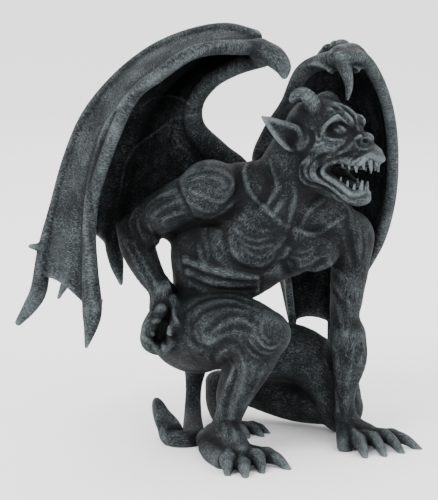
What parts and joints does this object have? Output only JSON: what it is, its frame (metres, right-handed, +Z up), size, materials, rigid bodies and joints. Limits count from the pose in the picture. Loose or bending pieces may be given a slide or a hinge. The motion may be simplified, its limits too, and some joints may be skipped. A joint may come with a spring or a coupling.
{
  "type": "gargoyle statuette",
  "caption": "Crouching winged gargoyle statuette, cast in one piece, open jaws, one fist on the hip, one hand on the floor, standing on its own feet.",
  "frame": {"origin": "on the floor, under the middle of the figure's box", "axes": "+Z up, +X to the figure's left hand, -Y towards the side that the picture shows"},
  "size_m": [0.234, 0.1628, 0.2453],
  "materials": {
    "cast_resin": "dark charcoal cast resin with a stone look, matt, dry-brushed pale blue-grey on the high places"
  },
  "bodies": {
    "root": {"gargoyle": "cast_resin"}
  },
  "joints": []
}
